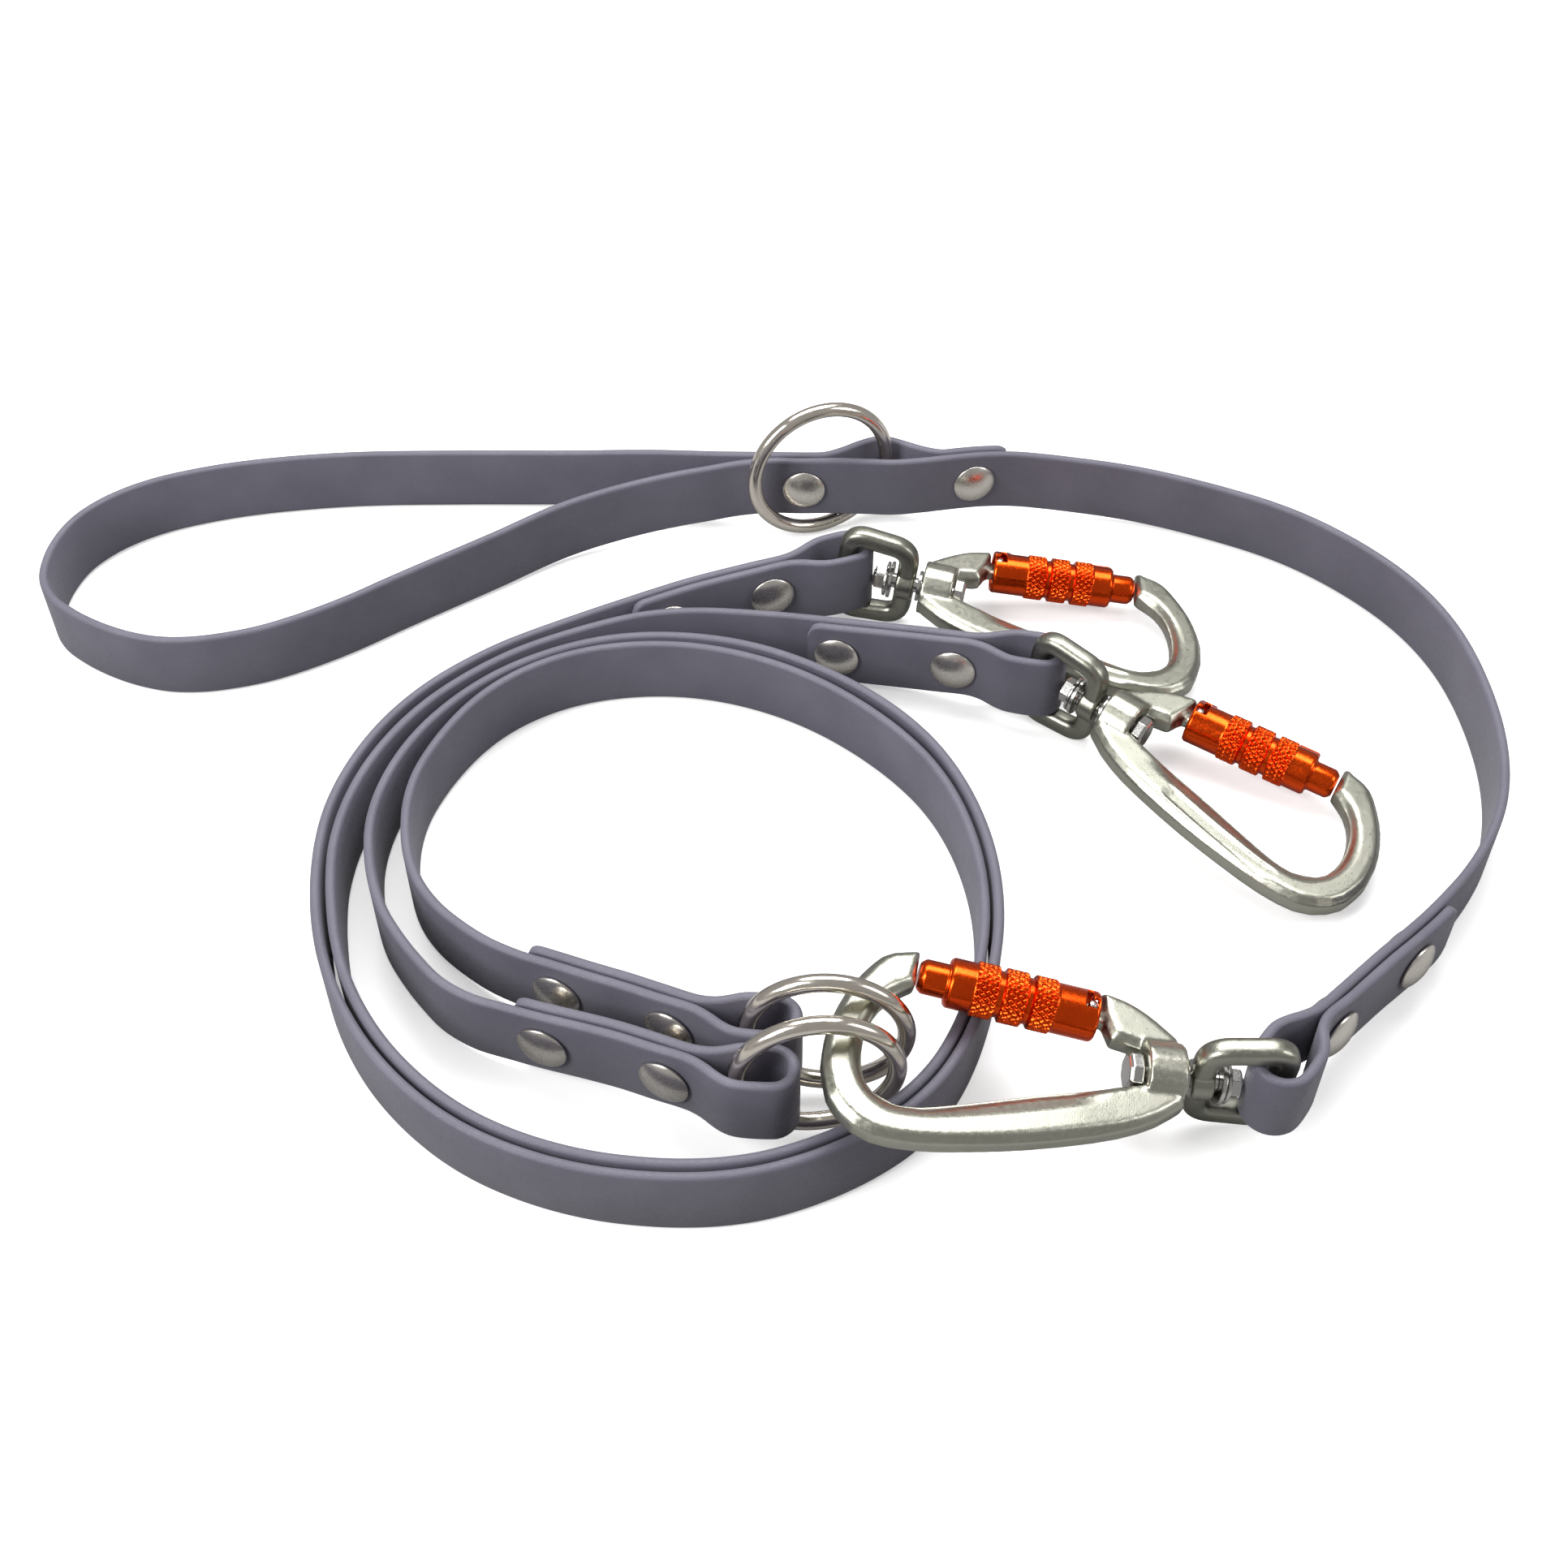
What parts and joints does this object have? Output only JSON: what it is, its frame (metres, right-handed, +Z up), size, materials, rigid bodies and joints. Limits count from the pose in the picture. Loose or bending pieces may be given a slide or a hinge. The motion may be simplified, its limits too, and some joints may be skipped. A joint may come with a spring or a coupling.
{
  "type": "training leash",
  "caption": "Flat webbing lead with a hand loop, joined by a twist-lock carabiner to a two-leg coupler strap, laid in a coil.",
  "frame": {"origin": "on the ground under the middle of the whole laid-out leash", "axes": "+Z up; +X to the right along the lead towards its clip end; +Y away from the viewer, towards the hand loop. The leash lies flat with every strap standing on its edge."},
  "size_m": [0.3828, 0.246, 0.0439],
  "materials": {
    "strap": "soft-touch coated webbing, fine leather-like grain, satin",
    "nickel": "polished nickel plate",
    "frame_metal": "satin grey-green anodised forging",
    "orange_metal": "glossy orange anodised, knurled bands on the sleeve",
    "bolt_steel": "bright turned steel"
  },
  "bodies": {
    "straps": {"coupler_strap_a": "strap", "coupler_strap_a_ring_end_outer_post_cap": "nickel", "coupler_strap_a_ring_end_outer_socket_cap": "nickel", "coupler_strap_a_ring_end_inner_post_cap": "nickel", "coupler_strap_a_ring_end_inner_socket_cap": "nickel", "coupler_strap_a_clip_end_outer_post_cap": "nickel", "coupler_strap_a_clip_end_outer_socket_cap": "nickel", "coupler_strap_a_clip_end_inner_post_cap": "nickel", "coupler_strap_a_clip_end_inner_socket_cap": "nickel", "coupler_strap_b": "strap", "coupler_strap_b_ring_end_outer_post_cap": "nickel", "coupler_strap_b_ring_end_outer_socket_cap": "nickel", "coupler_strap_b_ring_end_inner_post_cap": "nickel", "coupler_strap_b_ring_end_inner_socket_cap": "nickel", "coupler_strap_b_clip_end_outer_post_cap": "nickel", "coupler_strap_b_clip_end_outer_socket_cap": "nickel", "coupler_strap_b_clip_end_inner_post_cap": "nickel", "coupler_strap_b_clip_end_inner_socket_cap": "nickel", "handle_strap": "strap", "handle_strap_clip_end_outer_post_cap": "nickel", "handle_strap_clip_end_outer_socket_cap": "nickel", "handle_strap_clip_end_inner_post_cap": "nickel", "handle_strap_clip_end_inner_socket_cap": "nickel", "handle_strap_joint_right_post_cap": "nickel", "handle_strap_joint_right_socket_cap": "nickel", "handle_strap_joint_left_post_cap": "nickel", "handle_strap_joint_left_socket_cap": "nickel"},
    "handle_ring": {"handle_ring": "nickel"},
    "coupler_ring_a": {"coupler_ring_a": "nickel"},
    "coupler_ring_b": {"coupler_ring_b": "nickel"},
    "carabiner_a_bow": {"carabiner_a_bow": "frame_metal", "carabiner_a_swivel_bolt": "bolt_steel", "carabiner_a_swivel_spacer": "bolt_steel", "carabiner_a_swivel_washer": "bolt_steel", "carabiner_a_swivel_nut": "bolt_steel"},
    "carabiner_a_body": {"carabiner_a_body": "frame_metal", "carabiner_a_gate_pin": "bolt_steel"},
    "carabiner_a_gate": {"carabiner_a_gate": "orange_metal", "carabiner_a_gate_spring": "bolt_steel"},
    "carabiner_a_sleeve": {"carabiner_a_lock_sleeve": "orange_metal"},
    "carabiner_b_bow": {"carabiner_b_bow": "frame_metal", "carabiner_b_swivel_bolt": "bolt_steel", "carabiner_b_swivel_spacer": "bolt_steel", "carabiner_b_swivel_washer": "bolt_steel", "carabiner_b_swivel_nut": "bolt_steel"},
    "carabiner_b_body": {"carabiner_b_body": "frame_metal", "carabiner_b_gate_pin": "bolt_steel"},
    "carabiner_b_gate": {"carabiner_b_gate": "orange_metal", "carabiner_b_gate_spring": "bolt_steel"},
    "carabiner_b_sleeve": {"carabiner_b_lock_sleeve": "orange_metal"},
    "carabiner_main_bow": {"carabiner_main_bow": "frame_metal", "carabiner_main_swivel_bolt": "bolt_steel", "carabiner_main_swivel_spacer": "bolt_steel", "carabiner_main_swivel_washer": "bolt_steel", "carabiner_main_swivel_nut": "bolt_steel"},
    "carabiner_main_body": {"carabiner_main_body": "frame_metal", "carabiner_main_gate_pin": "bolt_steel"},
    "carabiner_main_gate": {"carabiner_main_gate": "orange_metal", "carabiner_main_gate_spring": "bolt_steel"},
    "carabiner_main_sleeve": {"carabiner_main_lock_sleeve": "orange_metal"}
  },
  "joints": [
    {"name": "handle_ring_swing", "type": "hinge", "parent": "straps", "child": "handle_ring", "pos_m": [0.03986, 0.1161, 0.0221], "axis": [0, 0, 1], "range_deg": [-1, 7]},
    {"name": "coupler_ring_a_swing", "type": "hinge", "parent": "straps", "child": "coupler_ring_a", "pos_m": [0.00076, -0.1001, 0.0216], "axis": [0, 0, 1], "range_deg": [0, 4]},
    {"name": "coupler_ring_b_swing", "type": "hinge", "parent": "straps", "child": "coupler_ring_b", "pos_m": [0.00286, -0.0874, 0.022], "axis": [0, 0, 1], "range_deg": [-2, 1]},
    {"name": "carabiner_a_bow_swing", "type": "hinge", "parent": "straps", "child": "carabiner_a_bow", "pos_m": [0.02788, 0.07339, 0.01546], "axis": [0.1028, -0.0215, 0.9945], "range_deg": [0, 12]},
    {"name": "carabiner_a_swivel", "type": "hinge", "parent": "carabiner_a_bow", "child": "carabiner_a_body", "pos_m": [0.04746, 0.0689, 0.01334], "axis": [0.9694, -0.2221, -0.105], "continuous": true},
    {"name": "carabiner_a_gate_open", "type": "hinge", "parent": "carabiner_a_body", "child": "carabiner_a_gate", "pos_m": [0.0699, 0.0772, 0.0112], "axis": [-0.1028, 0.0215, -0.9945], "range_deg": [0, 27], "deforming": ["carabiner_a_gate_spring"]},
    {"name": "carabiner_a_sleeve_twist", "type": "hinge", "parent": "carabiner_a_gate", "child": "carabiner_a_sleeve", "pos_m": [0.0677, 0.07709, 0.01142], "axis": [0.991, -0.0839, -0.1043], "range_deg": [0, 90]},
    {"name": "carabiner_b_bow_swing", "type": "hinge", "parent": "straps", "child": "carabiner_b_bow", "pos_m": [0.07664, 0.03214, 0.01548], "axis": [0.0865, -0.0614, 0.9944], "range_deg": [-29, 8]},
    {"name": "carabiner_b_swivel", "type": "hinge", "parent": "carabiner_b_bow", "child": "carabiner_b_body", "pos_m": [0.09256, 0.0199, 0.01334], "axis": [0.7882, -0.6062, -0.106], "continuous": true},
    {"name": "carabiner_b_gate_open", "type": "hinge", "parent": "carabiner_b_body", "child": "carabiner_b_gate", "pos_m": [0.11642, 0.01809, 0.01115], "axis": [-0.0865, 0.0614, -0.9944], "range_deg": [0, 27], "deforming": ["carabiner_b_gate_spring"]},
    {"name": "carabiner_b_sleeve_twist", "type": "hinge", "parent": "carabiner_b_gate", "child": "carabiner_b_sleeve", "pos_m": [0.11436, 0.0189, 0.01138], "axis": [0.8655, -0.4896, -0.1056], "range_deg": [0, 90]},
    {"name": "carabiner_main_bow_swing", "type": "hinge", "parent": "straps", "child": "carabiner_main_bow", "pos_m": [0.11619, -0.09747, 0.01671], "axis": [-0.0396, 0.0808, -0.9959], "range_deg": [0, 4]},
    {"name": "carabiner_main_swivel", "type": "hinge", "parent": "carabiner_main_bow", "child": "carabiner_main_body", "pos_m": [0.09606, -0.0969, 0.018], "axis": [-0.9864, 0.02, 0.1632], "range_deg": [-2, 2]},
    {"name": "carabiner_main_gate_open", "type": "hinge", "parent": "carabiner_main_body", "child": "carabiner_main_gate", "pos_m": [0.07663, -0.08344, 0.02233], "axis": [0.161, -0.0838, 0.9834], "range_deg": [0, 27], "deforming": ["carabiner_main_gate_spring"]},
    {"name": "carabiner_main_sleeve_twist", "type": "hinge", "parent": "carabiner_main_gate", "child": "carabiner_main_sleeve", "pos_m": [0.07872, -0.08409, 0.02193], "axis": [-0.9721, 0.1589, 0.1727], "range_deg": [0, 90]}
  ]
}
